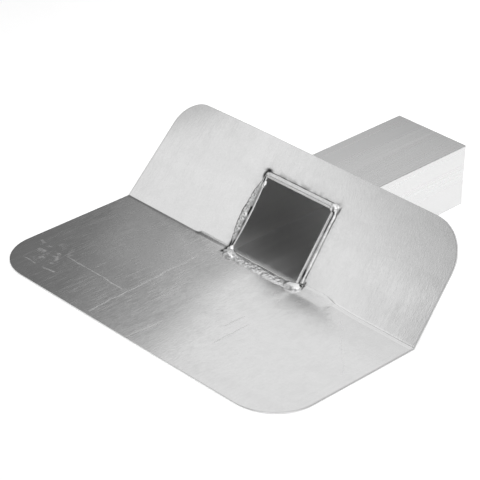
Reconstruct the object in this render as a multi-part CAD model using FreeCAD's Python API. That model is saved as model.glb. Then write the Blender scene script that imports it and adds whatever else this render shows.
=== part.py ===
import math
import os

import FreeCAD
import Part

# Parapet roof outlet welded up from aluminium: a sheet flange folded into an apron and a
# leaning upstand, with a rectangular tube welded into the upstand.
# Millimetres. X runs along the fold, +Y along the tube and away from the roof, +Z up.
# The origin is the middle of the apron's underside, the face that lies on the roof deck.

# Sheet that the flange and the tube's walls are made of
SHEET = 1.5

# Flange, folded from one blank
FLANGE_WIDTH = 345.0
APRON_DEPTH = 160.0
UPSTAND_LENGTH = 105.0
FOLD_ANGLE = 53.0
# Left of the weld the upstand leans back further, down to this angle at its end
LEFT_END_ANGLE = 44.5
APRON_CORNER = 43.0
UPSTAND_LEFT_CORNER = 27.0
UPSTAND_RIGHT_CORNER = 38.0

# Inside radius of the fold where it was pressed, in the wings
PRESSED_RADIUS = 1.5
# Inside radius of the fold where the press could not reach, beside the outlet
SOFT_RADIUS = 9.0
# Width of the soft fold on each side of the tube
SOFT_MARGIN = 41.0
# Length in which the soft fold runs out into the pressed one
FOLD_RUNOUT = 6.0

# Outlet tube, with its floor level with the apron
TUBE_WIDTH = 80.0
TUBE_HEIGHT = 60.0
# From the fold to the tube's rear end
TUBE_REACH = 213.0
# How far the tube's front end stands out of the upstand
RIM_PROUD = 1.5
# Gap round the tube in the hole it passes through
HOLE_CLEARANCE = 0.5

# Weld runs round the tube's front end: width and height of each
BOTTOM_RUN_WIDTH = 9.0
BOTTOM_RUN_HEIGHT = 2.6
LEFT_RUN_WIDTH = 8.0
RIGHT_RUN_WIDTH = 6.5
SIDE_RUN_HEIGHT = 1.9
TOP_RUN_WIDTH = 4.5
TOP_RUN_HEIGHT = 1.6
# How far the side and top runs lap against the tube
RUN_LAP = 0.9
# Ripples left by the welder along a run
RIPPLE_PITCH = 4.6
RIPPLE_DEPTH = 0.4
# Share of each ripple that rises, before it drops to the next
RIPPLE_RISE = 0.7
# How much lower and narrower a run is at its two ends
RUN_END_DROP = 1.2
# Lumps where the runs start, stop and overlap at the corners
LOWER_LUMP_WIDTH = 12.0
LOWER_LUMP_HEIGHT = 3.6
UPPER_LUMP_WIDTH = 8.0
UPPER_LUMP_HEIGHT = 2.3
# Facets across a run and round a lump, and steps in degrees from a lump's foot to its crown
RUN_FACETS = 8
LUMP_FACETS = 16
LUMP_STEPS = (0, 30, 55, 75)

Vector = FreeCAD.Vector
X_AXIS = Vector(1, 0, 0)
Z_AXIS = Vector(0, 0, 1)

half_width = FLANGE_WIDTH / 2
half_tube = TUBE_WIDTH / 2
fold = math.radians(FOLD_ANGLE)
soft_end = half_tube + SOFT_MARGIN

# Directions in the flat middle of the upstand: up its slope, and out of its front
up_slope = Vector(0, math.cos(fold), math.sin(fold))
out_of_upstand = Vector(0, -math.sin(fold), math.cos(fold))

# Inside corner of the fold, where the front of the upstand would meet the top of the apron
fold_corner = Vector(0, 0, SHEET)

# The upstand is flat to here on each side, clear of the weld round the tube
flat_end = half_tube + max(LEFT_RUN_WIDTH, RIGHT_RUN_WIDTH) + LOWER_LUMP_WIDTH / 2

# The apron is flat up to here, clear of the widest bend and of the weld
soft_reach = SOFT_RADIUS * math.tan(fold / 2)
apron_flat_end = -(soft_reach + BOTTOM_RUN_WIDTH)


def fold_angle_at(x):
    """Angle of the fold, in radians, at one place along it."""
    if x >= -flat_end:
        return fold
    share = (-x - flat_end) / (half_width - flat_end)
    return math.radians(FOLD_ANGLE + (LEFT_END_ANGLE - FOLD_ANGLE) * share)


def fold_section(x, inside_radius, thickness):
    """Closed section across the fold and the upstand at x; its front faces don't depend on thickness."""
    angle = fold_angle_at(x)
    centre_y = -inside_radius * math.tan(angle / 2)
    centre_z = SHEET + inside_radius
    outside_radius = inside_radius + thickness

    def on_bend(radius, turn):
        return Vector(x, centre_y + radius * math.sin(turn), centre_z - radius * math.cos(turn))

    def top_edge(behind):
        y = UPSTAND_LENGTH * math.cos(angle) + behind * math.sin(angle)
        z = SHEET + UPSTAND_LENGTH * math.sin(angle) - behind * math.cos(angle)
        return Vector(x, y, z)

    def bend_arc(radius, first, last):
        return Part.Arc(on_bend(radius, first), on_bend(radius, angle / 2), on_bend(radius, last)).toShape()

    front_start = Vector(x, apron_flat_end, SHEET)
    back_start = Vector(x, apron_flat_end, SHEET - thickness)
    return Part.Wire([
        Part.makeLine(back_start, on_bend(outside_radius, 0)),
        bend_arc(outside_radius, 0, angle),
        Part.makeLine(on_bend(outside_radius, angle), top_edge(thickness)),
        Part.makeLine(top_edge(thickness), top_edge(0)),
        Part.makeLine(top_edge(0), on_bend(inside_radius, angle)),
        bend_arc(inside_radius, angle, 0),
        Part.makeLine(on_bend(inside_radius, 0), front_start),
        Part.makeLine(front_start, back_start),
    ])


def folded_strip(stations, thickness):
    """Fold and upstand lofted straight from station to station, each an x and an inside radius."""
    sections = [fold_section(x, radius, thickness) for x, radius in stations]
    strips = [Part.makeLoft([a, b], True, True) for a, b in zip(sections, sections[1:])]
    return strips[0].fuse(strips[1:])


def corner_waste(corner, along, across, radius):
    """What is trimmed off a square sheet corner to round it; along and across point into the sheet."""
    def at(a, b):
        return corner + along * a + across * b

    middle = radius * (1 - math.sqrt(0.5))
    outline = Part.Wire([
        Part.makeLine(at(-radius, -radius), at(radius, -radius)),
        Part.makeLine(at(radius, -radius), at(radius, 0)),
        Part.Arc(at(radius, 0), at(middle, middle), at(0, radius)).toShape(),
        Part.makeLine(at(0, radius), at(-radius, radius)),
        Part.makeLine(at(-radius, radius), at(-radius, -radius)),
    ])
    through = along.cross(across)
    face = Part.Face(outline)
    face.translate(through * -radius)
    return face.extrude(through * (2 * radius))


def on_upstand(x, along):
    """Point on the front of the upstand's flat middle."""
    return fold_corner + X_AXIS * x + up_slope * along


def weld_run(start, end, out, width, height):
    """Rippled run of weld metal from start to end, standing up along out and sunk as deep as it is high."""
    along = end - start
    length = along.Length
    along.normalize()
    side = out.cross(along)
    count = max(1, round(length / RIPPLE_PITCH))
    pitch = length / count

    def section(distance, shrink):
        centre = start + along * distance
        half = width / 2 - shrink
        points = [centre - side * half - out * height, centre + side * half - out * height]
        for step in range(RUN_FACETS + 1):
            turn = math.pi * step / RUN_FACETS
            rise = (height - shrink) * math.sin(turn)
            points.append(centre + side * (half * math.cos(turn)) + out * rise)
        return Part.makePolygon(points + points[:1])

    sections = [section(0, RUN_END_DROP)]
    for index in range(count - 1):
        sections.append(section((index + RIPPLE_RISE) * pitch, 0))
        sections.append(section((index + 1) * pitch, RIPPLE_DEPTH))
    sections.append(section(length, RUN_END_DROP))
    return Part.makeLoft(sections, True, True)


def weld_lump(point, out, width, height):
    """Low round lump of weld metal at a point, standing up along out and sunk as deep as it is wide."""
    side = out.cross(X_AXIS)

    def ring(radius, rise):
        points = []
        for step in range(LUMP_FACETS):
            turn = 2 * math.pi * step / LUMP_FACETS
            sideways = X_AXIS * (radius * math.cos(turn)) + side * (radius * math.sin(turn))
            points.append(point + sideways + out * rise)
        return Part.makePolygon(points + points[:1])

    rings = [ring(width / 2, -width)]
    for degrees in LUMP_STEPS:
        turn = math.radians(degrees)
        rings.append(ring(width / 2 * math.cos(turn), height * math.sin(turn)))
    return Part.makeLoft(rings, True, True)


# Tube: a square-cut length of hollow section, its front end cut on the slope of the upstand
lip_y = -(RIM_PROUD + SHEET * math.cos(fold)) / math.sin(fold)
tube_length = TUBE_REACH - lip_y
tube_block = Part.makeBox(TUBE_WIDTH, tube_length, TUBE_HEIGHT, Vector(-half_tube, lip_y, 0))
bore_width = TUBE_WIDTH - 2 * SHEET
bore_height = TUBE_HEIGHT - 2 * SHEET
tube_bore = Part.makeBox(bore_width, tube_length, bore_height, Vector(-bore_width / 2, lip_y, SHEET))
rim_cut = Part.makeBox(2 * TUBE_WIDTH, 2 * tube_length, tube_length, Vector(-TUBE_WIDTH, -tube_length, 0))
rim_corner = fold_corner + out_of_upstand * RIM_PROUD
rim_cut.Placement = FreeCAD.Placement(rim_corner, FreeCAD.Rotation(X_AXIS, FOLD_ANGLE))
tube_block = tube_block.cut(rim_cut)
outlet_tube = tube_block.cut(tube_bore)

# Flange: a flat apron, and the fold and upstand through stations from the left end to the right
apron = Part.makeBox(FLANGE_WIDTH, APRON_DEPTH + apron_flat_end, SHEET, Vector(-half_width, -APRON_DEPTH, 0))
stations = [
    (-half_width, PRESSED_RADIUS),
    (-soft_end - FOLD_RUNOUT / 2, PRESSED_RADIUS),
    (-soft_end + FOLD_RUNOUT / 2, SOFT_RADIUS),
    (-flat_end, SOFT_RADIUS),
    (soft_end - FOLD_RUNOUT / 2, SOFT_RADIUS),
    (soft_end + FOLD_RUNOUT / 2, PRESSED_RADIUS),
    (half_width, PRESSED_RADIUS),
]
flange_plate = apron.fuse(folded_strip(stations, SHEET))

# Rounded corners, two on the apron and two on the upstand
inward = Vector(0, 1, 0)
left_angle = math.radians(LEFT_END_ANGLE)
left_slope = Vector(0, math.cos(left_angle), math.sin(left_angle))
front_left = Vector(-half_width, -APRON_DEPTH, 0)
front_right = Vector(half_width, -APRON_DEPTH, 0)
top_left = fold_corner - X_AXIS * half_width + left_slope * UPSTAND_LENGTH
top_right = on_upstand(half_width, UPSTAND_LENGTH)
flange_plate = flange_plate.cut([
    corner_waste(front_left, X_AXIS, inward, APRON_CORNER),
    corner_waste(front_right, X_AXIS * -1, inward, APRON_CORNER),
    corner_waste(top_left, X_AXIS, left_slope * -1, UPSTAND_LEFT_CORNER),
    corner_waste(top_right, X_AXIS * -1, up_slope * -1, UPSTAND_RIGHT_CORNER),
])

# Hole for the tube, cut along the tube through the upstand and down into the fold
hole = Part.makeBox(
    TUBE_WIDTH + 2 * HOLE_CLEARANCE,
    tube_length,
    TUBE_HEIGHT + 2 * HOLE_CLEARANCE,
    Vector(-half_tube - HOLE_CLEARANCE, lip_y - HOLE_CLEARANCE, -HOLE_CLEARANCE),
)
flange_plate = flange_plate.cut(hole).removeSplitter()

# Weld: a run up each side and over the top, on the upstand
rim_top = (TUBE_HEIGHT - SHEET) / math.sin(fold)
left_line = -half_tube - LEFT_RUN_WIDTH / 2 + RUN_LAP
right_line = half_tube + RIGHT_RUN_WIDTH / 2 - RUN_LAP
top_line = rim_top + TOP_RUN_WIDTH / 2 - RUN_LAP
upper_left = on_upstand(left_line, top_line)
upper_right = on_upstand(right_line, top_line)
left_run = weld_run(on_upstand(left_line, 0), upper_left, out_of_upstand, LEFT_RUN_WIDTH, SIDE_RUN_HEIGHT)
right_run = weld_run(on_upstand(right_line, 0), upper_right, out_of_upstand, RIGHT_RUN_WIDTH, SIDE_RUN_HEIGHT)
top_run = weld_run(upper_left, upper_right, out_of_upstand, TOP_RUN_WIDTH, TOP_RUN_HEIGHT)

# The bottom run lies on the apron against the tube's lip
bottom_y = -RIM_PROUD / math.sin(fold) - BOTTOM_RUN_WIDTH / 2
lower_left = Vector(left_line, bottom_y, SHEET)
lower_right = Vector(right_line, bottom_y, SHEET)
bottom_run = weld_run(lower_left, lower_right, Z_AXIS, BOTTOM_RUN_WIDTH, BOTTOM_RUN_HEIGHT)

# Lumps at the corners, the lower ones in the fold between the bottom run and the side runs
out_of_fold = out_of_upstand + Z_AXIS
out_of_fold.normalize()
to_fold = Vector(0, -bottom_y / 2, 0)
lumps = [
    weld_lump(lower_left + to_fold, out_of_fold, LOWER_LUMP_WIDTH, LOWER_LUMP_HEIGHT),
    weld_lump(lower_right + to_fold, out_of_fold, LOWER_LUMP_WIDTH, LOWER_LUMP_HEIGHT),
    weld_lump(upper_left, out_of_upstand, UPPER_LUMP_WIDTH, UPPER_LUMP_HEIGHT),
    weld_lump(upper_right, out_of_upstand, UPPER_LUMP_WIDTH, UPPER_LUMP_HEIGHT),
]

# All of it lies on the sheet and reaches no deeper than its front
weld_stations = [(-flat_end, SOFT_RADIUS), (0, SOFT_RADIUS), (flat_end, SOFT_RADIUS)]
behind_front = folded_strip(weld_stations, 2 * UPSTAND_LENGTH)
weld_bead = left_run.fuse([right_run, top_run, bottom_run] + lumps).cut(behind_front)

# Only the bottom run also fills the groove between the hole's lower edge and the tube's lip
over_hole = Part.makeBox(TUBE_WIDTH, APRON_DEPTH, TUBE_HEIGHT, Vector(-half_tube, -APRON_DEPTH / 2, 0))
groove_run = bottom_run.common(over_hole).cut(flange_plate)
weld_bead = weld_bead.fuse(groove_run).cut(tube_block)

# Each piece moves from the fold to the middle of the apron and is written out
os.makedirs("parts", exist_ok=True)
pieces = {
    "flange_plate": flange_plate,
    "outlet_tube": outlet_tube,
    "weld_bead": weld_bead,
}
for name, shape in pieces.items():
    shape.translate(inward * (APRON_DEPTH / 2))
    shape.exportStep("parts/" + name + ".step")
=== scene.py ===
import math

import bpy
import numpy as np
from mathutils import Matrix, Vector, noise


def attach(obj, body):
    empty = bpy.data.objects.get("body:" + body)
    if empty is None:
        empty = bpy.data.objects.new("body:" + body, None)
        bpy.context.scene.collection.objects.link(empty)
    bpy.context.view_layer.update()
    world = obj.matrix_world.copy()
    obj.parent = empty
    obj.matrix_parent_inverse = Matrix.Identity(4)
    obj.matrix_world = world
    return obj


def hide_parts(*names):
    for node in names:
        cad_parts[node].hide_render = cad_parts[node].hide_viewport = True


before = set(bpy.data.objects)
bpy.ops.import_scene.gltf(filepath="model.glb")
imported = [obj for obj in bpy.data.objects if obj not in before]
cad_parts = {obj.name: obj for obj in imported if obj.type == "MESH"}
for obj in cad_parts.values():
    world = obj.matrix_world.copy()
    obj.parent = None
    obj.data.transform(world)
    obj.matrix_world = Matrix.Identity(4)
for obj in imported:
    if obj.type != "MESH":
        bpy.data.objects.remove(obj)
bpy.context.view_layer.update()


# Flange: one aluminium sheet, cut to a rounded blank and folded across on a press into a flat
# apron and a leaning upstand. The press made a sharp fold in the two wings and could not reach
# beside the outlet, where the fold stays soft. Lengths in this file are millimetres.
MILLIMETRE = 0.001
SHEET = 1.5
HALF_WIDTH = 172.5
FOLD_LINE = 80.0
APRON_REACH = 160.0
UPSTAND_REACH = 105.0
FOLD_ANGLE = math.radians(53.0)
LEFT_END_ANGLE = math.radians(44.5)
LEAN_START = 54.0
PRESSED_RADIUS = 1.5
SOFT_RADIUS = 9.0
RIGHT_SOFT_RADIUS = 3.0
SOFT_END = 81.0
RUNOUT = 6.0
APRON_CORNER = 43.0
UPSTAND_LEFT_CORNER = 27.0
UPSTAND_RIGHT_CORNER = 38.0
DEBURR = 0.25
HOLE_HALF_WIDTH = 40.5
HOLE_TOP = 60.5
HOLE_FRONT = 76.5
SHARP_CORNER = math.radians(35.0)

# Warping by the fold and the weld's heat: slow waves, the apron's curl, and the pull right of the outlet
WAVE_MEAN = 0.17
WAVE_SWING = 0.1
CALM_HALF_WIDTH = 56.0
CALM_LOW = -14.0
CALM_HIGH = 88.0
CALM_FADE = 45.0
CURL_START = -80.0
CURL_LENGTH = 68.0
CURL_RISE = 1.25
PULL_LENGTH = 80.0
PULL_RISE = 1.45
PULL_FADE = 95.0
ROLL_WIDTH = 12.0
ROLL_SLOPE = 0.05
RIGHT_START = 40.0
RIGHT_FULL = 49.0


def ease(low, high, value):
    """Smooth step from 0 at low to 1 at high."""
    share = np.clip((value - low) / (high - low), 0.0, 1.0)
    return share * share * (3.0 - 2.0 * share)


def fold_angle_at(x):
    """Angle of the fold: the left wing leans back further towards its end."""
    share = np.clip((-x - LEAN_START) / (HALF_WIDTH - LEAN_START), 0.0, 1.0)
    return FOLD_ANGLE + (LEFT_END_ANGLE - FOLD_ANGLE) * share


def fold_radius_at(x):
    """Inside radius of the fold: sharp in the wings, soft left of the outlet, tighter right of it."""
    sharp = ease(SOFT_END - RUNOUT / 2, SOFT_END + RUNOUT / 2, np.abs(x))
    on_right = ease(RIGHT_START + 1.0, RIGHT_FULL + 1.0, x)
    soft = SOFT_RADIUS + (RIGHT_SOFT_RADIUS - SOFT_RADIUS) * on_right
    return soft + (PRESSED_RADIUS - soft) * sharp


def sheet_wave(x, run):
    """Lift off the true sheet: slow waves away from the weld, and the apron curled up in front of it."""
    across = np.maximum(np.abs(x) - CALM_HALF_WIDTH, 0.0)
    along = np.maximum(np.maximum(CALM_LOW - run, run - CALM_HIGH), 0.0)
    away = ease(0.0, CALM_FADE, np.hypot(across, along))
    waves = np.sin(x / 39.0 + run / 71.0 + 0.6) + 0.7 * np.sin(run / 33.0 - x / 58.0 + 2.1)
    curl = np.clip((run - CURL_START) / CURL_LENGTH, 0.0, 1.0) ** 2 * ease(-45.0, 5.0, x)
    curl = curl * (1.0 - ease(RIGHT_START, RIGHT_FULL, x))
    short_of_fold = 1.0 - ease(-4.5, -1.0, run)
    return away * (WAVE_MEAN + WAVE_SWING * waves) + CURL_RISE * curl * short_of_fold


def fold_pull(x, run):
    """How far the weld's heat has drawn the sheet up, right of the outlet and most of all at the fold."""
    curl = np.clip((run - CURL_START) / PULL_LENGTH, 0.0, 1.0) ** 2.5 * (1.0 - ease(66.0, 112.0, x))
    strip = np.minimum(run, 0.0) + ROLL_WIDTH
    roll = ROLL_SLOPE * (np.sqrt(strip * strip + 3.0) + strip) * (1.0 - ease(73.0, 85.0, x))
    fade = 1.0 - np.clip(run / PULL_FADE, 0.0, 1.0)
    return (PULL_RISE * curl + roll) * ease(RIGHT_START, RIGHT_FULL, x) * fade


def sheet_place(x, run, depth):
    """Point of the folded sheet at x and at a run from the fold, that deep under its front face."""
    angle = fold_angle_at(x)
    radius = fold_radius_at(x)
    reach = radius * np.tan(angle / 2)
    turn = angle * np.clip((run + reach) / (2 * reach), 0.0, 1.0)
    on_apron = np.minimum(run + reach, 0.0)
    on_upstand = np.maximum(run - reach, 0.0)
    lift = sheet_wave(x, run) - depth
    y = FOLD_LINE - reach + on_apron + on_upstand * np.cos(angle) + (radius - lift) * np.sin(turn)
    z = SHEET + radius + on_upstand * np.sin(angle) - (radius - lift) * np.cos(turn)
    pull = fold_pull(x, run)
    return np.stack(np.broadcast_arrays(x, y + pull / np.tan(angle), z + pull), axis=-1)


def new_piece(name, points, faces, finishes, face_finish=None):
    """Mesh piece from points in millimetres, shaded smooth with its real corners kept sharp."""
    mesh = bpy.data.meshes.new(name)
    mesh.from_pydata((np.asarray(points) * MILLIMETRE).tolist(), [], faces)
    for finish in finishes:
        mesh.materials.append(finish)
    if face_finish is not None:
        mesh.polygons.foreach_set("material_index", np.asarray(face_finish, dtype=np.int32))
    mesh.polygons.foreach_set("use_smooth", np.ones(len(mesh.polygons), dtype=bool))
    mesh.set_sharp_from_angle(angle=SHARP_CORNER)
    mesh.validate()
    piece = bpy.data.objects.new(name, mesh)
    bpy.context.scene.collection.objects.link(piece)
    return piece


def add_node(tree, kind, inputs=None, **settings):
    """New shader node with its settings, its inputs each a value or another node's output."""
    node = tree.nodes.new(kind)
    for name, value in settings.items():
        setattr(node, name, value)
    for name, value in (inputs or {}).items():
        if isinstance(value, bpy.types.NodeSocket):
            tree.links.new(value, node.inputs[name])
        else:
            node.inputs[name].default_value = value
    return node


def calc(tree, operation, first, second=0.0):
    """Output of a math node."""
    node = add_node(tree, "ShaderNodeMath", {0: first, 1: second}, operation=operation)
    return node.outputs[0]


def spread(tree, value, low, high, to_low, to_high):
    """Value carried over from one range to another, smoothly and never past its ends."""
    inputs = {"Value": value, "From Min": low, "From Max": high, "To Min": to_low, "To Max": to_high}
    return add_node(tree, "ShaderNodeMapRange", inputs, interpolation_type="SMOOTHSTEP").outputs["Result"]


def streaks(tree, place, scale, detail, seed):
    """Noise drawn out by three scales, one for each direction of the place; the seed sets it apart."""
    apart = (seed, 3.1 * seed, 7.7 * seed)
    shift = add_node(tree, "ShaderNodeVectorMath", {0: place, 1: apart}, operation="ADD")
    stretch = add_node(tree, "ShaderNodeVectorMath", {0: shift.outputs[0], 1: scale}, operation="MULTIPLY")
    inputs = {"Vector": stretch.outputs[0], "Scale": 1.0, "Detail": detail, "Roughness": 0.6}
    return add_node(tree, "ShaderNodeTexNoise", inputs).outputs["Fac"]


def new_finish(name):
    """New metal finish: its material, node tree and surface shader."""
    finish = bpy.data.materials.new(name)
    finish.use_nodes = True
    surface = finish.node_tree.nodes["Principled BSDF"]
    surface.inputs["Metallic"].default_value = 1.0
    return finish, finish.node_tree, surface


def grey(level):
    """Neutral colour of that level."""
    return (level, level, level, 1.0)


def blend(tree, factor, first, second):
    """Colour that turns from the first to the second by a factor."""
    sockets = {0: factor, 6: first, 7: second}
    return add_node(tree, "ShaderNodeMix", sockets, data_type="RGBA").outputs[2]


SCRATCH_TAIL = 3.0


def scratch_mask(tree, place, start, end, half_width):
    """Mask of one straight scratch on the sheet's front, from start to end on the flat blank."""
    length = math.hypot(end[0] - start[0], end[1] - start[1])
    along = ((end[0] - start[0]) / length, (end[1] - start[1]) / length, 0.0)
    across = (-along[1], along[0], 0.0)
    offset = add_node(tree, "ShaderNodeVectorMath", {0: place, 1: start + (0.0,)}, operation="SUBTRACT")
    run = add_node(tree, "ShaderNodeVectorMath", {0: offset.outputs[0], 1: along}, operation="DOT_PRODUCT")
    off = add_node(tree, "ShaderNodeVectorMath", {0: offset.outputs[0], 1: across}, operation="DOT_PRODUCT")
    aside = calc(tree, "ABSOLUTE", off.outputs["Value"])
    line = spread(tree, aside, half_width * 0.3, half_width, 1.0, 0.0)
    begin = spread(tree, run.outputs["Value"], 0.0, SCRATCH_TAIL, 0.0, 1.0)
    stop = spread(tree, run.outputs["Value"], length - SCRATCH_TAIL, length, 1.0, 0.0)
    return calc(tree, "MULTIPLY", calc(tree, "MULTIPLY", line, begin), stop)


# Mill finish of the sheet: bright rolled aluminium, its grain and fine brushed lines across the fold,
# softly mottled, scratched by handling and scuffed at one corner. Its back is duller and oily.
mill_sheet, tree, surface = new_finish("mill_sheet")
blank = add_node(tree, "ShaderNodeAttribute", attribute_name="blank").outputs["Vector"]
smoke = add_node(tree, "ShaderNodeAttribute", attribute_name="smoke").outputs["Fac"]
blank_x, blank_run, blank_depth = add_node(tree, "ShaderNodeSeparateXYZ", {0: blank}).outputs
front = spread(tree, blank_depth, 0.2, 0.6, 1.0, 0.0)
on_apron = spread(tree, blank_run, -10.0, 0.0, 1.0, 0.4)
on_left = spread(tree, blank_x, -50.0, 40.0, 1.0, 0.1)
grain = streaks(tree, blank, (0.7, 0.006, 0.6), 1.0, 3.0)
grain = spread(tree, grain, 0.25, 0.75, 0.0, 1.0)
short_lines = streaks(tree, blank, (0.75, 0.14, 0.6), 1.0, 17.0)
long_lines = streaks(tree, blank, (0.9, 0.022, 0.6), 2.0, 37.0)
mottle = streaks(tree, blank, (0.05, 0.03, 0.6), 3.0, 11.0)
rubbed = streaks(tree, blank, (0.3, 0.2, 0.6), 2.0, 5.0)

# Handling scratches: start and end on the flat blank, half width and strength
SCRATCHES = (
    ((-127.0, -111.0), (-53.3, -112.9), 1.1, 0.6),
    ((-47.6, -158.1), (-51.5, -25.4), 1.3, 0.6),
    ((2.9, -159.1), (5.2, -118.5), 1.2, 0.6),
    ((-151.7, -138.4), (-133.8, -138.7), 1.4, 0.65),
    ((-128.4, -138.9), (-111.8, -136.2), 1.4, 0.8),
    ((-164.8, -109.7), (-155.6, -112.3), 2.2, 0.65),
    ((-156.0, -121.5), (-142.0, -118.5), 2.4, 0.65),
    ((-135.8, -120.2), (-128.2, -117.2), 1.7, 0.65),
    ((-131.5, -130.2), (-123.8, -129.2), 1.6, 0.5),
    ((43.9, -92.1), (45.6, -65.2), 0.7, 0.6),
    ((57.3, -115.1), (56.6, -71.4), 0.7, 0.6),
    ((102.1, -12.5), (159.6, -69.9), 0.7, 0.4),
    ((-95.9, -106.4), (-95.9, -91.6), 0.8, 0.6),
)
unsteady = streaks(tree, blank, (0.04, 0.04, 0.6), 1.0, 21.0)
wobble = spread(tree, unsteady, 0.3, 0.7, -0.9, 0.9)
hand_line = add_node(tree, "ShaderNodeVectorMath", {0: blank, 1: wobble}, operation="ADD").outputs[0]
scratches = None
for begin, end, half_width, strength in SCRATCHES:
    mask = calc(tree, "MULTIPLY", scratch_mask(tree, hand_line, begin, end, half_width), strength)
    scratches = mask if scratches is None else calc(tree, "MAXIMUM", scratches, mask)
scratches = calc(tree, "MULTIPLY", scratches, spread(tree, rubbed, 0.35, 0.6, 0.6, 1.0))

# Scuffed corner: rubbed spots about one place on the flat blank
SCUFF_PLACE = (-140.0, -118.0, 0.0)
SCUFF_REACH = 26.0
scuff_far = add_node(tree, "ShaderNodeVectorMath", {0: blank, 1: SCUFF_PLACE}, operation="DISTANCE")
scuff_near = spread(tree, scuff_far.outputs["Value"], 0.3 * SCUFF_REACH, SCUFF_REACH, 1.0, 0.0)
scuff_spots = spread(tree, streaks(tree, blank, (0.16, 0.16, 0.6), 2.0, 8.0), 0.45, 0.72, 0.0, 0.65)
marks = calc(tree, "MAXIMUM", scratches, calc(tree, "MULTIPLY", scuff_near, scuff_spots))
marks = calc(tree, "MULTIPLY", marks, front)

# Painted highlight: a lighter strip of colour along the sharp fold on the right
off_fold = calc(tree, "ABSOLUTE", calc(tree, "ADD", blank_run, 0.8))
highlight_run = spread(tree, off_fold, 2.2, 3.4, 1.0, 0.0)
highlight_x = spread(tree, blank_x, 80.0, 86.0, 0.0, 0.9)
painted_fold_highlight = calc(tree, "MULTIPLY", highlight_run, highlight_x)

# Colour: cloudy, small and broad dull patches, then the painted fold highlight, the smoke and the oily back
DULL_GREY = grey(0.6)
cloud = spread(tree, streaks(tree, blank, (0.45, 0.45, 0.6), 2.0, 13.0), 0.3, 0.7, 0.0, 0.65)
cloud = calc(tree, "ADD", cloud, calc(tree, "MULTIPLY", grain, 0.35))
colour = blend(tree, cloud, grey(0.877), grey(0.915))
small_dull = spread(tree, streaks(tree, blank, (0.13, 0.11, 0.6), 2.0, 43.0), 0.42, 0.68, 0.0, 0.075)
broad_dull = spread(tree, streaks(tree, blank, (0.011, 0.034, 0.6), 1.0, 47.0), 0.45, 0.65, 0.0, 0.08)
colour = blend(tree, small_dull, colour, DULL_GREY)
colour = blend(tree, broad_dull, colour, DULL_GREY)
colour = blend(tree, painted_fold_highlight, colour, grey(0.98))
# The smoke layer darkens the colour: weld soot, black notches, the fold line and painted shade at the edge
colour = blend(tree, smoke, colour, grey(0.03))
oily = calc(tree, "MULTIPLY", calc(tree, "SUBTRACT", 1.0, front), spread(tree, mottle, 0.3, 0.7, 0.6, 0.9))
colour = blend(tree, oily, colour, grey(0.62))
tree.links.new(colour, surface.inputs["Base Color"])

# The weld's heat has dulled a long patch of the apron beside it
HEAT_X = 46.0
HEAT_RUN = -14.0
HEAT_STRETCH = 0.55
heat_frame = {0: blank, 1: (HEAT_STRETCH, 1.0, 1.0), 2: (-HEAT_STRETCH * HEAT_X, -HEAT_RUN, 0.0)}
heat_off = add_node(tree, "ShaderNodeVectorMath", heat_frame, operation="MULTIPLY_ADD").outputs[0]
heat_far = add_node(tree, "ShaderNodeVectorMath", {0: heat_off}, operation="LENGTH").outputs["Value"]

# Roughness: grain, oil, brushed lines, mottling, handling marks, smoke and heat each add to it
rough = spread(tree, grain, 0.0, 1.0, 0.145, 0.17)
rough = calc(tree, "ADD", rough, calc(tree, "MULTIPLY", oily, 0.2))
short_rough = calc(tree, "MULTIPLY", spread(tree, short_lines, 0.3, 0.7, -0.045, 0.045), on_apron)
rough = calc(tree, "ADD", rough, short_rough)
long_rough = calc(tree, "MULTIPLY", spread(tree, long_lines, 0.45, 0.7, 0.0, 0.12), on_apron)
rough = calc(tree, "ADD", rough, calc(tree, "MULTIPLY", long_rough, on_left))
rough = calc(tree, "ADD", rough, spread(tree, mottle, 0.3, 0.7, -0.02, 0.02))
rough = calc(tree, "ADD", rough, calc(tree, "MULTIPLY", marks, 0.42))
rough = calc(tree, "ADD", rough, calc(tree, "MULTIPLY", smoke, 0.2))
rough = calc(tree, "ADD", rough, spread(tree, heat_far, 16.0, 36.0, 0.055, 0.0))
tree.links.new(rough, surface.inputs["Roughness"])
fine_grain = streaks(tree, blank, (0.9, 0.25, 0.6), 1.0, 29.0)
RIDGE_HEIGHT = 0.028 * MILLIMETRE
ridges = add_node(tree, "ShaderNodeBump", {"Strength": 1.0, "Distance": RIDGE_HEIGHT, "Height": fine_grain})
tree.links.new(ridges.outputs["Normal"], surface.inputs["Normal"])

# Sheared edge of the sheet: a little rougher and darker, with marks through its thickness
sheared_edge, tree, surface = new_finish("sheared_edge")
blank = add_node(tree, "ShaderNodeAttribute", attribute_name="blank").outputs["Vector"]
shear = streaks(tree, blank, (1.2, 1.2, 0.2), 3.0, 2.0)
tree.links.new(blend(tree, shear, grey(0.62), grey(0.82)), surface.inputs["Base Color"])
tree.links.new(spread(tree, shear, 0.3, 0.7, 0.3, 0.5), surface.inputs["Roughness"])


def corner_inset(distance, radius):
    """How far a rounded corner cuts in, that far from the edge."""
    left = np.maximum(radius - distance, 0.0)
    return radius - np.sqrt(radius * radius - left * left)


def corner_steps(radius, count):
    """Distances from an edge that divide a rounded corner evenly."""
    return radius * (1.0 - np.cos(np.linspace(0.0, math.pi / 2, count)))


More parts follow.
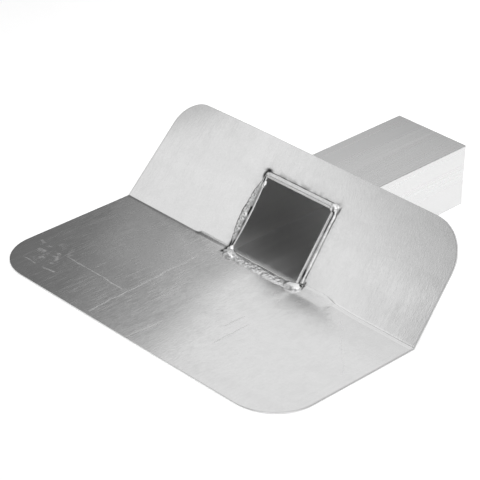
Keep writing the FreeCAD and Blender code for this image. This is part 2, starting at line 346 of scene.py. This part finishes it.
# Rows run across the sheet from the apron's front edge to the upstand's top edge, closest at the fold
soft_reach = SOFT_RADIUS * math.tan(FOLD_ANGLE / 2)
hole_turn = math.asin((HOLE_FRONT - FOLD_LINE + soft_reach) / SOFT_RADIUS)
hole_low = soft_reach * (2.0 * hole_turn / FOLD_ANGLE - 1.0)
hole_high = (HOLE_TOP - SHEET) / math.sin(FOLD_ANGLE)
front_row = DEBURR - APRON_REACH
top_row = UPSTAND_REACH - DEBURR
rows = np.concatenate([
    front_row + corner_steps(APRON_CORNER - DEBURR, 16),
    np.arange(front_row + 45.0, -18.0, 2.5),
    np.arange(-18.0, -6.0, 1.0),
    np.array([-6.0, -5.2, -4.5, -3.8, hole_low, -2.6, -2.0, -1.5, -1.1, -0.8, -0.6, -0.4, -0.2]),
    np.array([0.0, 0.2, 0.4, 0.6, 0.8, 1.1, 1.5, 2.0, 2.6, 3.3, 4.0, 4.6, 5.3]),
    np.arange(6.0, hole_high - 0.6, 1.0),
    np.array([hole_high]),
    np.arange(hole_high + 1.0, 82.0, 1.0),
    top_row - corner_steps(UPSTAND_RIGHT_CORNER - DEBURR, 18)[::-1][6:],
])
rows = np.unique(rows)
from_front = rows - front_row
from_top = top_row - rows
front_cut = corner_inset(from_front, APRON_CORNER - DEBURR)
left_cut = np.maximum(front_cut, corner_inset(from_top, UPSTAND_LEFT_CORNER - DEBURR))
right_cut = np.maximum(front_cut, corner_inset(from_top, UPSTAND_RIGHT_CORNER - DEBURR))
left_end = DEBURR - HALF_WIDTH + left_cut
right_end = HALF_WIDTH - DEBURR - right_cut

# Columns run along the fold: the left wing, over the hole, and the right wing
wing = HALF_WIDTH - DEBURR - HOLE_HALF_WIDTH
wing_steps = np.concatenate([np.arange(0.0, 16.0, 1.0), np.arange(16.0, wing - 1.0, 2.0), [wing]]) / wing
over_hole = np.linspace(-HOLE_HALF_WIDTH, HOLE_HALF_WIDTH, 55)
left_wing = -HOLE_HALF_WIDTH + wing_steps[None, :] * (left_end[:, None] + HOLE_HALF_WIDTH)
right_wing = HOLE_HALF_WIDTH + wing_steps[None, :] * (right_end[:, None] - HOLE_HALF_WIDTH)
middle = np.broadcast_to(over_hole[None, 1:-1], (len(rows), len(over_hole) - 2))
grid_x = np.concatenate([left_wing[:, ::-1], middle, right_wing], axis=1)
grid_run = np.broadcast_to(rows[:, None], grid_x.shape)
row_count, column_count = grid_x.shape
hole_columns = (len(wing_steps) - 1, column_count - len(wing_steps))
hole_rows = (int(np.argmin(np.abs(rows - hole_low))), int(np.argmin(np.abs(rows - hole_high))))

# The hole is cut along the tube, so behind the sheet its upper edge sits higher up the slope
behind_run = grid_run + SHEET / math.tan(FOLD_ANGLE) * np.exp(-((grid_run - hole_high) / 8.0) ** 2)
number = np.full(grid_x.shape, -1)
kept = np.ones(grid_x.shape, dtype=bool)
kept[hole_rows[0] + 1:hole_rows[1], hole_columns[0] + 1:hole_columns[1]] = False
number[kept] = np.arange(kept.sum())
front_count = int(kept.sum())
blank_front = np.stack([grid_x[kept], grid_run[kept], np.zeros(front_count)], axis=-1)
blank_back = np.stack([grid_x[kept], behind_run[kept], np.full(front_count, SHEET)], axis=-1)
faces = []
face_finish = []
for i in range(row_count - 1):
    for j in range(column_count - 1):
        in_rows = hole_rows[0] <= i < hole_rows[1]
        in_columns = hole_columns[0] <= j < hole_columns[1]
        if in_rows and in_columns:
            continue
        quad = [number[i, j], number[i, j + 1], number[i + 1, j + 1], number[i + 1, j]]
        faces.append([int(v) for v in quad])
        faces.append([int(v) + front_count for v in reversed(quad)])
        face_finish += [0, 0]

# Outer edge: two more loops of points make its sheared face and the small deburred corners
outline = [(0, j) for j in range(column_count)]
outline += [(i, column_count - 1) for i in range(1, row_count)]
outline += [(row_count - 1, j) for j in range(column_count - 2, -1, -1)]
outline += [(i, 0) for i in range(row_count - 2, 0, -1)]
edge_flat = np.array([(grid_x[i, j], grid_run[i, j]) for i, j in outline])
travel = np.roll(edge_flat, -1, axis=0) - np.roll(edge_flat, 1, axis=0)
travel /= np.linalg.norm(travel, axis=1, keepdims=True)
edge_flat = edge_flat + DEBURR * np.stack([travel[:, 1], -travel[:, 0]], axis=-1)
edge_count = len(outline)
edge_upper = np.column_stack([edge_flat, np.full(edge_count, DEBURR)])
edge_lower = np.column_stack([edge_flat, np.full(edge_count, SHEET - DEBURR)])
blank_points = np.concatenate([blank_front, blank_back, edge_upper, edge_lower])
upper_start = 2 * front_count
lower_start = upper_start + edge_count
ring = [int(number[i, j]) for i, j in outline]
loops = [
    ring,
    [upper_start + k for k in range(edge_count)],
    [lower_start + k for k in range(edge_count)],
    [v + front_count for v in ring],
]
for upper, lower in zip(loops, loops[1:]):
    for k in range(edge_count):
        after = (k + 1) % edge_count
        faces.append([upper[k], lower[k], lower[after], upper[after]])
        face_finish.append(1)

# Edge of the hole, square through the sheet
low_row, high_row = hole_rows
first, last = hole_columns
hole_ring = [(low_row, j) for j in range(first, last)]
hole_ring += [(i, last) for i in range(low_row, high_row)]
hole_ring += [(high_row, j) for j in range(last, first, -1)]
hole_ring += [(i, first) for i in range(high_row, low_row, -1)]
hole_ring = [int(number[i, j]) for i, j in hole_ring]
for a, b in zip(hole_ring, hole_ring[1:] + hole_ring[:1]):
    faces.append([a + front_count, a, b, b + front_count])
    face_finish.append(1)

sheet_points = sheet_place(blank_points[:, 0], blank_points[:, 1], blank_points[:, 2])
flange = new_piece("flange_sheet", sheet_points, faces, [mill_sheet, sheared_edge], face_finish)
blank_layer = flange.data.attributes.new("blank", "FLOAT_VECTOR", "POINT")
blank_layer.data.foreach_set("vector", blank_points.astype(np.float32).ravel())

# Black notches beside the weld: place on the flat blank, half sizes along x and the run, strength
BLACK_NOTCHES = (
    (-42.8, 4.6, 1.9, 4.8, 1.0),
    (-43.4, -1.2, 2.6, 4.4, 1.0),
    (-44.0, -5.6, 2.2, 2.8, 1.0),
    (-42.0, 74.6, 2.2, 2.4, 1.0),
    (-43.0, 71.8, 2.0, 3.8, 1.0),
    (-40.4, 76.6, 4.0, 2.1, 1.0),
    (45.8, 1.8, 2.4, 2.2, 1.0),
    (42.7, 11.0, 1.1, 5.5, 1.0),
    (47.6, -1.6, 1.4, 2.4, 1.0),
    (45.2, 71.5, 0.9, 4.0, 0.9),
)


def blackness_at(x, run):
    """How black a place on the flat blank is, from 0 to 1."""
    share = np.zeros_like(x)
    for spot_x, spot_run, half_x, half_run, strength in BLACK_NOTCHES:
        away = ((x - spot_x) / half_x) ** 2 + ((run - spot_run) / half_run) ** 2
        share = np.maximum(share, strength * np.exp(-away ** 2))
    return share


# Weld smoke round the outlet, a darker fold line, mostly in the left wing, and painted shade along the edge
HAZE_HALF_WIDTH = 46.0
HAZE_LOW = -11.0
HAZE_HIGH = 76.0
RIM_SHADE = 0.25
flat_x, flat_run, flat_depth = blank_points.T
beyond_x = np.abs(flat_x) - HAZE_HALF_WIDTH
beyond_run = np.maximum(HAZE_LOW - flat_run, flat_run - HAZE_HIGH)
beyond = np.hypot(np.maximum(beyond_x, 0.0), np.maximum(beyond_run, 0.0))
fold_darkening = np.exp(-((flat_run + 0.8) / 1.2) ** 2)
fold_darkening *= 0.4 * ease(46.0, 60.0, -flat_x) + 0.05 * ease(80.0, 88.0, flat_x)
# Painted shade: the outer rim of the sheet's front face is darkened
rim_shade = np.zeros(len(blank_points))
rim_shade[ring] = RIM_SHADE
patches = [noise.noise(Vector((x / 6.0, run / 4.0, 2.0))) for x, run in zip(flat_x, flat_run)]
patches = 0.3 + 0.7 * ease(-0.2, 0.3, np.array(patches))
# Soot smudges and painted shade along the sheet just above the top run
top_soot_and_shade = 0.6 * ease(74.5, 76.0, flat_run) * (1.0 - ease(42.0, 48.0, np.abs(flat_x)))
haze = (0.04 + 0.1 * patches) * np.exp(-beyond / 3.0) + top_soot_and_shade * patches * np.exp(-beyond / 1.9)
smoke_share = np.maximum(haze, blackness_at(flat_x, flat_run))
smoke_share = np.maximum(np.maximum(smoke_share, fold_darkening), rim_shade) * (flat_depth < 0.1)
smoke_layer = flange.data.attributes.new("smoke", "FLOAT", "POINT")
smoke_layer.data.foreach_set("value", smoke_share.astype(np.float32))
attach(flange, "root")
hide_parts("flange_plate")


# Outlet tube: a length of drawn rectangular aluminium tube, its front end sawn on the slope of the
# upstand and its rear end square. It passes through the hole in the sheet and stands just proud of
# it, where the weld holds it.
TUBE_HALF_WIDTH = 40.0
TUBE_TOP = 60.0
TUBE_REAR = 293.0
RIM_PROUD = 1.5
TUBE_CORNER = 0.8
BORE_CORNER = 0.2
SIDE_STEPS = 12
CORNER_STEPS = 4
LEFT_BOW = 2.1
BOW_FADE = 35.0
NEAR_CORNER = 0.004

# Outside of the tube: bright, with lengthwise drawing lines and broader bands
drawn_tube, tree, surface = new_finish("drawn_tube")
place = add_node(tree, "ShaderNodeTexCoord").outputs["Object"]
bands = streaks(tree, place, (60.0, 1.5, 60.0), 2.0, 0.4)
lines = streaks(tree, place, (500.0, 5.0, 500.0), 1.0, 0.9)
tree.links.new(blend(tree, bands, grey(0.65), grey(0.75)), surface.inputs["Base Color"])
band_rough = spread(tree, bands, 0.3, 0.7, 0.22, 0.34)
line_rough = spread(tree, lines, 0.3, 0.7, -0.025, 0.025)
tree.links.new(calc(tree, "ADD", band_rough, line_rough), surface.inputs["Roughness"])

# Inside of the tube: dull and a little darker than the outside, painted shade for the dim bore
tube_bore, tree, surface = new_finish("tube_bore")
place = add_node(tree, "ShaderNodeTexCoord").outputs["Object"]
bands = streaks(tree, place, (90.0, 3.0, 90.0), 3.0, 1.7)
tree.links.new(blend(tree, bands, grey(0.58), grey(0.72)), surface.inputs["Base Color"])
tree.links.new(spread(tree, bands, 0.3, 0.7, 0.32, 0.42), surface.inputs["Roughness"])


def tube_loop(half_width, low, high, corner):
    """Rectangular loop of points across the tube, each an x and a z, with rounded corners."""
    corners = [
        (half_width - corner, low + corner, -90.0),
        (half_width - corner, high - corner, 0.0),
        (corner - half_width, high - corner, 90.0),
        (corner - half_width, low + corner, 180.0),
    ]
    points = []
    for index, (x, z, start) in enumerate(corners):
        for step in range(CORNER_STEPS + 1):
            turn = math.radians(start + 90.0 * step / CORNER_STEPS)
            points.append((x + corner * math.cos(turn), z + corner * math.sin(turn)))
        next_x, next_z, next_start = corners[(index + 1) % 4]
        turn = math.radians(next_start)
        goal = (next_x + corner * math.cos(turn), next_z + corner * math.sin(turn))
        begin = points[-1]
        for share in [NEAR_CORNER, *np.linspace(0.0, 1.0, SIDE_STEPS + 1)[1:-1], 1.0 - NEAR_CORNER]:
            side_x = begin[0] + (goal[0] - begin[0]) * share
            side_z = begin[1] + (goal[1] - begin[1]) * share
            points.append((side_x, side_z))
    return np.array(points)


def left_bow(height):
    """How far the left wall is drawn in at the front end, by the weld's heat."""
    return LEFT_BOW * np.sin(math.pi * np.clip(height / TUBE_TOP, 0.0, 1.0))


def tube_ring(loop, share, inward):
    """Loop set at a share of the way from the sloping front end to the square rear end."""
    front_y = FOLD_LINE - RIM_PROUD / math.sin(FOLD_ANGLE) + (loop[:, 1] - SHEET) / math.tan(FOLD_ANGLE)
    start = front_y + inward
    y = start + (TUBE_REAR - inward - start) * share
    drawn_in = left_bow(loop[:, 1]) * np.exp(-(y - front_y) / BOW_FADE) * ease(20.0, 39.0, -loop[:, 0])
    return np.column_stack([loop[:, 0] + drawn_in, y, loop[:, 1]])


# Rings run back along the outside, over the rear end, forward along the bore and over the front end
outer = tube_loop(TUBE_HALF_WIDTH, 0.0, TUBE_TOP, TUBE_CORNER)
outer_end = tube_loop(TUBE_HALF_WIDTH - DEBURR, DEBURR, TUBE_TOP - DEBURR, TUBE_CORNER)
bore_half = TUBE_HALF_WIDTH - SHEET
bore_top = TUBE_TOP - SHEET
bore = tube_loop(bore_half, SHEET, bore_top, BORE_CORNER)
bore_end = tube_loop(bore_half + DEBURR, SHEET - DEBURR, bore_top + DEBURR, BORE_CORNER)
shares = np.linspace(0.0, 1.0, 24)
tube_rings = [tube_ring(outer_end, 0.0, 0.0)]
tube_rings += [tube_ring(outer, share, DEBURR) for share in shares]
tube_rings += [tube_ring(outer_end, 1.0, 0.0), tube_ring(bore_end, 1.0, 0.0)]
tube_rings += [tube_ring(bore, share, DEBURR) for share in shares[::-1]]
tube_rings += [tube_ring(bore_end, 0.0, 0.0)]
loop_count = len(outer)
bore_from = len(shares) + 3
faces = []
face_finish = []
for r in range(len(tube_rings)):
    after_ring = (r + 1) % len(tube_rings)
    for k in range(loop_count):
        after = (k + 1) % loop_count
        faces.append([
            r * loop_count + k,
            after_ring * loop_count + k,
            after_ring * loop_count + after,
            r * loop_count + after,
        ])
        face_finish.append(1 if bore_from <= r < bore_from + len(shares) - 1 else 0)
tube = new_piece("outlet_spout", np.concatenate(tube_rings), faces, [drawn_tube, tube_bore], face_finish)
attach(tube, "root")
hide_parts("outlet_tube")


# Weld: aluminium laid by hand round the tube's front end, which joins the tube to the sheet: a broad
# rippled run along the bottom, narrower uneven runs up the sides and over the top, and fat lumps
# where runs start and stop.
WELD_LOW = -1.6
WELD_HIGH = (TUBE_TOP - SHEET) / math.sin(FOLD_ANGLE)
WELD_SUNK = 1.0
WELD_LAP = 0.4
WELD_FLOOR = 0.3
RIPPLE_PITCH = 6.5
RIPPLE_BOW = 2.2
STATION_STEP = 0.5
VOXEL = 0.35

# Weld metal: bright with a fine uneven skin, black where soot lies on it and where shade is painted
weld_metal, tree, surface = new_finish("weld_metal")
place = add_node(tree, "ShaderNodeTexCoord").outputs["Object"]
soot_and_shade = add_node(tree, "ShaderNodeAttribute", attribute_name="soot_and_shade").outputs["Fac"]
skin = streaks(tree, place, (420.0, 420.0, 420.0), 3.0, 0.3)
colour = blend(tree, skin, grey(0.86), grey(0.97))
colour = blend(tree, soot_and_shade, colour, grey(0.02))
tree.links.new(colour, surface.inputs["Base Color"])
rough = calc(tree, "ADD", spread(tree, skin, 0.3, 0.7, 0.3, 0.44), calc(tree, "MULTIPLY", soot_and_shade, 0.3))
tree.links.new(rough, surface.inputs["Roughness"])

# Section of each run: shares of its width out from the tube, and the lift off the sheet at each
SECTIONS = {
    "bottom": ((0.0, 0.07, 0.11, 0.16, 0.4, 0.7, 0.9, 1.0), (2.2, 2.2, 0.4, 1.2, 1.4, 1.1, 0.5, -0.2)),
    "right": ((0.0, 0.12, 0.3, 0.45, 0.62, 0.78, 0.95, 1.0), (0.8, 0.3, 0.2, 0.9, 1.7, 1.0, 0.15, -0.4)),
    "top": ((0.0, 0.3, 0.55, 0.75, 0.86, 0.96, 1.0), (1.5, 1.9, 2.1, 1.0, 0.2, 0.15, -0.4)),
    "left": (
        (0.0, 0.1, 0.17, 0.26, 0.36, 0.55, 0.76, 0.87, 0.97, 1.0),
        (0.9, 0.4, 0.2, 0.2, 0.9, 1.2, 0.8, 0.25, 0.15, -0.4),
    ),
}
UNEVEN = {"bottom": 0.5, "right": 0.3, "top": 0.12, "left": 0.8}
ACROSS = 36

# Reach of each run out from the tube: shares of the way along it, and the reach at each
REACHES = {
    "bottom": ((0.0, 0.1, 0.3, 0.8, 0.95, 1.0), (4.0, 9.5, 12.2, 12.0, 10.0, 7.0)),
    "right": ((0.0, 0.1, 0.9, 1.0), (6.8, 6.2, 5.6, 4.2)),
    "top": ((0.0, 1.0), (3.3, 3.3)),
    "left": ((0.0, 0.08, 0.23, 0.5, 0.68, 0.8, 0.9, 1.0), (3.0, 3.4, 6.4, 8.6, 7.8, 5.8, 3.8, 3.2)),
}

# Swing of each run's reach: how much, its seed, the run's length and the pitch along it
SWINGS = {
    "bottom": (0.8, 1, 80.0, 9.0),
    "right": (0.5, 3, 75.0, 9.0),
    "top": (0.2, 6, 80.0, 8.0),
    "left": (0.4, 8, 75.0, 7.0),
}


def wander(seed, distance, pitch):
    """Slow uneven swing from -1 to 1 along a run."""
    return noise.noise(Vector((distance / pitch, seed * 5.3, seed * 1.7)))


def run_reach(side, share):
    """How far a run of weld reaches in over the tube and out from it, at a share of the way along."""
    amount, seed, length, pitch = SWINGS[side]
    reach = np.interp(share, *REACHES[side]) + amount * wander(seed, share * length, pitch)
    if side == "left":
        return WELD_LAP + left_bow(TUBE_TOP * (1.0 - share)), reach
    return WELD_LAP, reach


def run_section(side, share, distance):
    """Offsets from the tube and lifts off the sheet across a run."""
    lap, width = run_reach(side, share)
    across = np.linspace(0.0, 1.0, ACROSS + 1)
    lift = np.interp(across, *SECTIONS[side]) * (1.0 + 0.15 * wander(2, distance, 11.0))
    for index, q in enumerate(across):
        rough_spot = noise.noise(Vector((distance / 2.6, q * width / 2.2, 4.0)))
        held = float(ease(0.14, 0.3, q)) * min(1.0, 6.0 * (1.0 - q))
        lift[index] += UNEVEN[side] * rough_spot * held
        if side == "bottom":
            bowed = distance + RIPPLE_BOW * (2.0 * q - 1.0) ** 2
            phase = bowed / RIPPLE_PITCH + 0.6 * wander(20, distance, 10.0)
            valley = 0.12 + 0.15 * wander(21, distance, 8.0)
            lift[index] -= valley * (0.5 - 0.5 * math.cos(2.0 * math.pi * phase)) * held
    return -lap + (width + lap) * across, lift


# Stations round the tube: its four sides, with a fan of stations about each corner
SIDES = ("bottom", "right", "top", "left")
CORNERS = (
    (-TUBE_HALF_WIDTH, WELD_LOW),
    (TUBE_HALF_WIDTH, WELD_LOW),
    (TUBE_HALF_WIDTH, WELD_HIGH),
    (-TUBE_HALF_WIDTH, WELD_HIGH),
)
FAN = 10
weld_points = []
station_count = 0
distance = 0.0
for index, side in enumerate(SIDES):
    start = np.array(CORNERS[index])
    end = np.array(CORNERS[(index + 1) % 4])
    length = float(np.linalg.norm(end - start))
    out_turn = math.radians(90.0 * index - 90.0)
    steps = int(round(length / STATION_STEP))
    stations = []
    for step in range(steps + 1):
        share = step / steps
        offsets, lifts = run_section(side, share, distance + share * length)
        stations.append((start + (end - start) * share, out_turn, offsets, lifts))
    distance += length
    next_offsets, next_lifts = run_section(SIDES[(index + 1) % 4], 0.0, distance if index < 3 else 0.0)
    for step in range(1, FAN):
        mix = step / FAN
        blend_offsets = offsets + (next_offsets - offsets) * mix
        blend_lifts = lifts + (next_lifts - lifts) * mix
        stations.append((end, out_turn + math.pi / 2 * mix, blend_offsets, blend_lifts))
    for flat, turn, offsets, lifts in stations:
        out = np.array([math.cos(turn), math.sin(turn)])
        for off, lift in zip(offsets, lifts):
            weld_points.append((flat[0] + out[0] * off, flat[1] + out[1] * off, lift))
        for off in (offsets[-1], offsets[0]):
            weld_points.append((flat[0] + out[0] * off, flat[1] + out[1] * off, -WELD_SUNK))
    station_count += len(stations)
per_station = ACROSS + 3
faces = []
for s in range(station_count):
    after_station = (s + 1) % station_count
    for k in range(per_station):
        after = (k + 1) % per_station
        faces.append([
            s * per_station + k,
            s * per_station + after,
            after_station * per_station + after,
            after_station * per_station + k,
        ])

# Lumps: place on the flat blank, lift of the middle, and half sizes along x, along the run and up
LUMPS = (
    (-34.8, -5.8, 0.5, 7.6, 5.9, 3.8),
    (-38.6, 0.4, 0.9, 3.2, 5.4, 3.2),
    (40.0, -5.6, 0.5, 8.6, 6.2, 3.8),
    (39.3, 72.4, 0.8, 4.0, 4.0, 3.0),
    (-38.5, 74.0, 0.6, 3.2, 2.0, 1.6),
    (-38.2, 64.0, 1.0, 2.2, 3.6, 1.7),
)
LUMP_RINGS = 14
LUMP_POINTS = 24
for x, run, lift, half_x, half_run, half_up in LUMPS:
    base = len(weld_points)
    for ring_step in range(LUMP_RINGS + 1):
        rise = math.pi * (ring_step / LUMP_RINGS - 0.5)
        for step in range(LUMP_POINTS):
            turn = 2.0 * math.pi * step / LUMP_POINTS
            skin_place = Vector((x + 1.6 * math.cos(turn), run + 1.6 * math.sin(turn), rise))
            swell = 1.0 + 0.2 * noise.noise(skin_place)
            ring_size = max(math.cos(rise), 0.01) * swell
            weld_points.append((
                x + half_x * ring_size * math.cos(turn),
                run + half_run * ring_size * math.sin(turn),
                lift + half_up * math.sin(rise) * swell,
            ))
    for ring_step in range(LUMP_RINGS):
        for step in range(LUMP_POINTS):
            after = (step + 1) % LUMP_POINTS
            low = base + ring_step * LUMP_POINTS
            high = low + LUMP_POINTS
            faces.append([low + step, low + after, high + after, high + step])
    faces.append([base + step for step in range(LUMP_POINTS - 1, -1, -1)])
    top_ring = base + LUMP_RINGS * LUMP_POINTS
    faces.append([top_ring + step for step in range(LUMP_POINTS)])

# The runs and lumps are laid on the folded sheet, melted into one skin and softened
weld_points = np.array(weld_points)
laid = sheet_place(weld_points[:, 0], weld_points[:, 1], -np.maximum(weld_points[:, 2], -WELD_SUNK))
laid[:, 2] = np.maximum(laid[:, 2], WELD_FLOOR)
weld_raw = new_piece("weld_raw", laid, faces, [])
melt = weld_raw.modifiers.new("melt", "REMESH")
melt.mode = "VOXEL"
melt.voxel_size = VOXEL * MILLIMETRE
melt.use_smooth_shade = True
soften = weld_raw.modifiers.new("soften", "SMOOTH")
soften.factor = 0.5
soften.iterations = 5
graph = bpy.context.evaluated_depsgraph_get()
weld_mesh = bpy.data.meshes.new_from_object(weld_raw.evaluated_get(graph))
weld_mesh.name = "weld_run"
weld_mesh.materials.clear()
weld_mesh.materials.append(weld_metal)
bpy.data.objects.remove(weld_raw)
weld = bpy.data.objects.new("weld_run", weld_mesh)
bpy.context.scene.collection.objects.link(weld)

# Back from the melted metal to places on the flat blank, through the soft fold it lies on
count = len(weld_mesh.vertices)
melted = np.zeros(count * 3, dtype=np.float32)
weld_mesh.vertices.foreach_get("co", melted)
melted = melted.reshape(-1, 3) * 1000.0
bend_y = FOLD_LINE - soft_reach
bend_z = SHEET + SOFT_RADIUS
turned = np.clip(np.arctan2(melted[:, 1] - bend_y, bend_z - melted[:, 2]), 0.0, FOLD_ANGLE)
up_slope = (melted[:, 1] - FOLD_LINE) * math.cos(FOLD_ANGLE) + (melted[:, 2] - SHEET) * math.sin(FOLD_ANGLE)
melted_run = soft_reach * (2.0 * turned / FOLD_ANGLE - 1.0)
melted_run = np.where(turned <= 0.0, melted[:, 1] - FOLD_LINE, melted_run)
melted_run = np.where(turned >= FOLD_ANGLE, up_slope, melted_run)
melted_x = melted[:, 0]

# Where each point of the weld lies: how far out from each side of the tube, and what share along it
off_sides = {
    "bottom": WELD_LOW - melted_run,
    "right": melted_x - TUBE_HALF_WIDTH,
    "top": melted_run - WELD_HIGH,
    "left": -TUBE_HALF_WIDTH - melted_x,
}
along_sides = {
    "bottom": (melted_x + TUBE_HALF_WIDTH) / (2.0 * TUBE_HALF_WIDTH),
    "right": (melted_run - WELD_LOW) / (WELD_HIGH - WELD_LOW),
    "top": (TUBE_HALF_WIDTH - melted_x) / (2.0 * TUBE_HALF_WIDTH),
    "left": (WELD_HIGH - melted_run) / (WELD_HIGH - WELD_LOW),
}

# Soot and painted shade lie in the gap beside the tube; soot flecks the runs; painted shade lines the toe
# of every run but the bottom one; the notches are black. Gap: its share across the run, half width,
# strength.
GAP_SOOT_AND_SHADE = {
    "bottom": (0.12, 0.45, 0.8),
    "right": (0.28, 0.8, 0.95),
    "top": (0.0, 0.3, 0.0),
    "left": (0.23, 1.15, 1.0),
}
FLECKS = {"bottom": 0.22, "right": 0.15, "top": 0.1, "left": 0.5}
TOE_SHADE = {"bottom": 0.0, "right": 0.8, "top": 0.95, "left": 1.0}
TOE_AT = 0.93
TOE_HALF = 0.7
soot_and_shade_share = blackness_at(melted_x, melted_run)
for side in SIDES:
    for index in np.nonzero((off_sides[side] > -4.0) & (np.abs(along_sides[side] - 0.5) < 0.55))[0]:
        share = float(np.clip(along_sides[side][index], 0.0, 1.0))
        lap, width = run_reach(side, share)
        off = off_sides[side][index] + lap
        gap_at, gap_half, gap_strength = GAP_SOOT_AND_SHADE[side]
        patchy = 0.55 + 0.45 * float(ease(-0.3, 0.1, wander(31 + len(side), share * 78.0, 9.0)))
        gap_off = (off - gap_at * (lap + width)) / gap_half
        gap = gap_strength * math.exp(-gap_off ** 4) * patchy
        toe_off = (off - TOE_AT * (lap + width)) / TOE_HALF
        toe = TOE_SHADE[side] * math.exp(-toe_off ** 4) * max(patchy, 0.7)
        spot = noise.noise(Vector((share * 50.0, off / 1.1, 9.0 + len(side))))
        fleck = FLECKS[side] * float(ease(0.05, 0.35, spot)) * (off > 0.12 * (lap + width))
        within = float(ease(-0.02, 0.05, 0.5 - abs(along_sides[side][index] - 0.5)))
        soot_and_shade_share[index] = max(soot_and_shade_share[index], gap * within, toe * within, fleck * within)
soot_and_shade_layer = weld_mesh.attributes.new("soot_and_shade", "FLOAT", "POINT")
soot_and_shade_layer.data.foreach_set("value", np.clip(soot_and_shade_share, 0.0, 1.0).astype(np.float32))
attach(weld, "root")
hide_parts("weld_bead")


# Studio: a plain pale floor, a low panel over the tube that fades out to the left and that the apron
# mirrors, two boxes in front on the left that the upstand mirrors, a large box on the right and a
# soft light overhead. The camera stands where the photograph was taken from.
pale_floor = bpy.data.materials.new("pale_floor")
pale_floor.use_nodes = True
tree = pale_floor.node_tree
surface = tree.nodes["Principled BSDF"]
place = add_node(tree, "ShaderNodeTexCoord").outputs["Object"]
speckle = streaks(tree, place, (30.0, 30.0, 30.0), 2.0, 0.5)
tree.links.new(blend(tree, speckle, grey(0.94), grey(0.97)), surface.inputs["Base Color"])
surface.inputs["Roughness"].default_value = 0.8
surface.inputs["Emission Color"].default_value = grey(1.0)
surface.inputs["Emission Strength"].default_value = 0.5
FLOOR_HALF = 4000.0
FLOOR_HEIGHT = -0.4
floor_corners = ((-1.0, -1.0), (1.0, -1.0), (1.0, 1.0), (-1.0, 1.0))
floor_points = [(FLOOR_HALF * x, FLOOR_HALF * y, FLOOR_HEIGHT) for x, y in floor_corners]
floor = new_piece("studio_floor", floor_points, [[0, 1, 2, 3]], [pale_floor])

world = bpy.data.worlds.new("studio")
world.use_nodes = True
world.node_tree.nodes["Background"].inputs["Color"].default_value = grey(0.15)
bpy.context.scene.world = world


def soft_light(name, place, aim, roll, size, brightness):
    """Soft rectangular light that faces its aim; brightness is what a mirror of it would show."""
    lamp = bpy.data.lights.new(name, "AREA")
    lamp.shape = "RECTANGLE"
    lamp.size = size[0] * MILLIMETRE
    lamp.size_y = size[1] * MILLIMETRE
    lamp.energy = brightness * math.pi * lamp.size * lamp.size_y
    light = bpy.data.objects.new(name, lamp)
    facing = (Vector(aim) - Vector(place)).to_track_quat("-Z", "Y").to_matrix()
    turned = facing @ Matrix.Rotation(math.radians(roll), 3, "Z")
    light.matrix_world = Matrix.Translation(Vector(place) * MILLIMETRE) @ turned.to_4x4()
    light.visible_camera = False
    bpy.context.scene.collection.objects.link(light)


def down_light(name, place, roll, size, brightness):
    """Soft rectangular light that faces straight down."""
    soft_light(name, place, (place[0], place[1], 0.0), roll, size, brightness)


# The panel and the strips that fade it out: distance off its middle, width, roll and brightness
PANEL_MIDDLE = (-63.0, 389.0, 300.0)
PANEL_LENGTH = 750.0
FADE_TURN = math.radians(17.0)
PANEL_FADES = (
    (295.0, 30.0, 23.0, 0.3),
    (332.0, 44.0, 29.0, 0.18),
    (386.0, 64.0, 34.0, 0.09),
    (458.0, 80.0, 38.0, 0.02),
)
down_light("back_panel", PANEL_MIDDLE, 21.0, (560.0, PANEL_LENGTH), 0.65)
panel_x, panel_y, panel_z = PANEL_MIDDLE
for index, (off, width, roll, brightness) in enumerate(PANEL_FADES):
    x = panel_x - off * math.cos(FADE_TURN)
    y = panel_y - off * math.sin(FADE_TURN)
    down_light(f"panel_fade_{index}", (x, y, panel_z), roll, (width, PANEL_LENGTH), brightness)

# Two small lights that the apron mirrors near the fold on the left, at heights of their own
down_light("panel_corner", (-482.0, 424.0, 330.0), 20.0, (165.0, 110.0), 0.12)
down_light("panel_nook", (-370.0, 232.0, 340.0), 10.0, (105.0, 70.0), 0.14)

# The other lights; both boxes on the left face a place behind the upstand's left wing
BOX_AIM = (-140.0, 257.0, 40.0)
soft_light("overhead", (40.0, -60.0, 1400.0), (0.0, 75.0, 0.0), 0.0, (900.0, 900.0), 0.35)
down_light("bridge", (-710.0, -475.0, 900.0), 0.0, (340.0, 490.0), 0.6)
soft_light("left_box", (-940.0, -493.0, 450.0), BOX_AIM, 0.0, (1100.0, 750.0), 0.405)
soft_light("front_box", (-760.0, -670.0, 400.0), BOX_AIM, -9.0, (1100.0, 600.0), 0.285)
soft_light("key_box", (1500.0, -700.0, 1500.0), (100.0, 100.0, 0.0), 0.0, (3000.0, 2600.0), 1.1)

# Camera: its turn, rise and tilt, how far off the fold's middle the picture's middle lies, and how
# far back it stands
MIDDLE_RIGHT = -19.7
MIDDLE_UP = 23.5
STAND_BACK = 1833.0
turn = math.radians(44.96)
rise = math.radians(30.12)
tilt = math.radians(1.39)
behind = Vector((math.sin(turn) * math.cos(rise), -math.cos(turn) * math.cos(rise), math.sin(rise)))
level = Vector((math.cos(turn), math.sin(turn), 0.0))
upright = behind.cross(level)
frame_right = math.cos(tilt) * level + math.sin(tilt) * upright
frame_up = math.cos(tilt) * upright - math.sin(tilt) * level
middle_off = MIDDLE_RIGHT * frame_right + MIDDLE_UP * frame_up
stand = Vector((0.0, FOLD_LINE, SHEET)) + middle_off + STAND_BACK * behind
lens = bpy.data.cameras.new("camera")
lens.sensor_width = 36.0
lens.lens = 161.0
camera = bpy.data.objects.new("camera", lens)
axes = Matrix((frame_right, frame_up, behind)).transposed()
camera.matrix_world = Matrix.Translation(stand * MILLIMETRE) @ axes.to_4x4()
bpy.context.scene.collection.objects.link(camera)
bpy.context.scene.camera = camera
bpy.context.scene.view_settings.view_transform = "Standard"
